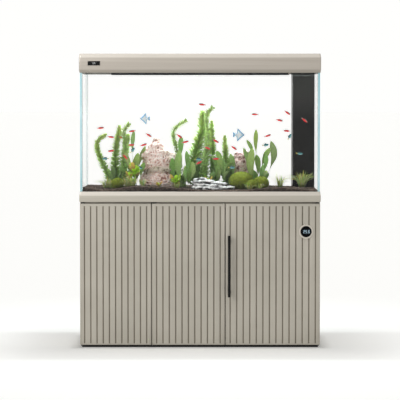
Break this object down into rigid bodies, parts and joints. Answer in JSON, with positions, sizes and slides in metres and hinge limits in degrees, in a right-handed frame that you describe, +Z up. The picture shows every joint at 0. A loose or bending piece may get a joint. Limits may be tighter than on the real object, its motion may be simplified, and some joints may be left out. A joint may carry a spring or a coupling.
{
  "type": "aquarium on stand",
  "caption": "Long glass aquarium with a lift-up hood and corner overflow on a fluted cabinet with hinged doors, sump filter and planted gravel bed.",
  "frame": {"origin": "on the floor, under the middle of the tank", "axes": "+Z up, -Y towards the doors and the viewer, +X towards the overflow corner at the viewer's right"},
  "size_m": [1.21, 0.4553, 1.473],
  "materials": {
    "black_base": "matt black levelling mat",
    "cabinet_board": "melamine-faced board",
    "cabinet_paint": "satin greige paint on MDF",
    "black_steel": "black powder coat",
    "black_aluminium": "black anodised, satin",
    "trim_plastic": "satin greige",
    "display_black": "gloss black lens",
    "grey_plastic": "smooth grey pipe",
    "white_plastic": "satin white",
    "black_plastic": "satin black",
    "red_plastic": "satin red",
    "clear_plastic": "smoked clear acrylic",
    "tank_glass": "clear float glass with aqua edges",
    "sump_glass": "clear float glass",
    "black_acrylic": "black acrylic, slightly dull",
    "filter_floss": "white fibre wadding",
    "ceramic_media": "porous ceramic rings in a net",
    "hood_shell": "satin greige, faintly brushed along its length",
    "light_diffuser": "frosted acrylic lens",
    "badge_black": null,
    "gravel": "dark brown grains",
    "pink_rock": "rough pinkish coral rock",
    "slate": "rough pale layered slate",
    "plants": "soft green leaves"
  },
  "bodies": {
    "root": {"levelling_board": "black_base", "cabinet_floor": "cabinet_board", "cabinet_side_left": "cabinet_paint", "cabinet_side_right": "cabinet_paint", "cabinet_partition": "cabinet_board", "cabinet_shelf": "cabinet_board", "cabinet_deck": "cabinet_board", "cabinet_back": "cabinet_board", "pivot_left_top": "black_steel", "pivot_left_bottom": "black_steel", "pivot_middle_top": "black_steel", "pivot_middle_bottom": "black_steel", "pivot_right_top": "black_steel", "pivot_right_bottom": "black_steel", "touch_latch_left": "grey_plastic", "touch_latch_middle": "grey_plastic", "base_trim": "trim_plastic", "glass_floor": "tank_glass", "glass_left": "tank_glass", "glass_right": "tank_glass", "glass_front": "tank_glass", "glass_back": "tank_glass", "glass_brace_front": "tank_glass", "glass_brace_back": "tank_glass", "weir_front_panel": "black_acrylic", "weir_side_panel": "black_acrylic", "drain_standpipe": "grey_plastic", "drain_strainer": "black_plastic", "drain_valve_body": "grey_plastic", "drain_tail_pipe": "grey_plastic", "return_pipe": "grey_plastic", "sump_tank": "sump_glass", "drip_tray": "clear_plastic", "filter_floss": "filter_floss", "bio_media": "ceramic_media", "pump_housing": "black_plastic", "sump_heater": "black_plastic", "hood_frame": "hood_shell", "light_bar": "black_aluminium", "light_diffuser": "light_diffuser", "badge_plate": "badge_black", "gravel_bed": "gravel", "rock_large": "pink_rock", "rock_column": "pink_rock", "rock_slate": "slate", "plants_left": "plants", "plants_middle": "plants", "plants_right": "plants"},
    "left_door": {"door_left": "cabinet_paint"},
    "middle_door": {"door_middle": "cabinet_paint"},
    "right_door": {"door_right": "cabinet_paint", "door_handle": "black_aluminium", "display_bezel": "trim_plastic", "display_module": "display_black"},
    "lid": {"hood_lid": "hood_shell"},
    "left_plunger": {"latch_plunger_left": "white_plastic"},
    "middle_plunger": {"latch_plunger_middle": "white_plastic"},
    "valve_lever": {"drain_valve_lever": "red_plastic"},
    "nozzle": {"return_nozzle": "black_plastic"},
    "impeller": {"pump_impeller": "white_plastic"}
  },
  "joints": [
    {"name": "left_door_hinge", "type": "hinge", "parent": "root", "child": "left_door", "pos_m": [-0.593, -0.203, 0.368], "axis": [0, 0, -1], "range_deg": [0, 105]},
    {"name": "middle_door_hinge", "type": "hinge", "parent": "root", "child": "middle_door", "pos_m": [-0.2315, -0.203, 0.368], "axis": [0, 0, -1], "range_deg": [0, 95]},
    {"name": "right_door_hinge", "type": "hinge", "parent": "root", "child": "right_door", "pos_m": [0.593, -0.203, 0.368], "axis": [0, 0, 1], "range_deg": [0, 105]},
    {"name": "lid_hinge", "type": "hinge", "parent": "root", "child": "lid", "pos_m": [0, 0.054, 1.46675], "axis": [-1, 0, 0], "range_deg": [0, 85]},
    {"name": "left_latch_slide", "type": "slide", "parent": "root", "child": "left_plunger", "axis": [0, 1, 0], "range_m": [0, 0.004], "stiffness_N_per_m": 600, "springref_m": -0.002},
    {"name": "middle_latch_slide", "type": "slide", "parent": "root", "child": "middle_plunger", "axis": [0, 1, 0], "range_m": [0, 0.004], "stiffness_N_per_m": 600, "springref_m": -0.002},
    {"name": "valve_lever_turn", "type": "hinge", "parent": "root", "child": "valve_lever", "pos_m": [0.545, 0.044, 0.6], "axis": [0, -1, 0], "range_deg": [0, 90]},
    {"name": "nozzle_swivel", "type": "hinge", "parent": "root", "child": "nozzle", "pos_m": [0.515, 0.02, 1.437], "axis": [0, 1, 0], "range_deg": [-60, 60]},
    {"name": "impeller_spin", "type": "hinge", "parent": "root", "child": "impeller", "pos_m": [0.515, 0.14, 0.0626], "axis": [0, 0, 1], "continuous": true}
  ]
}
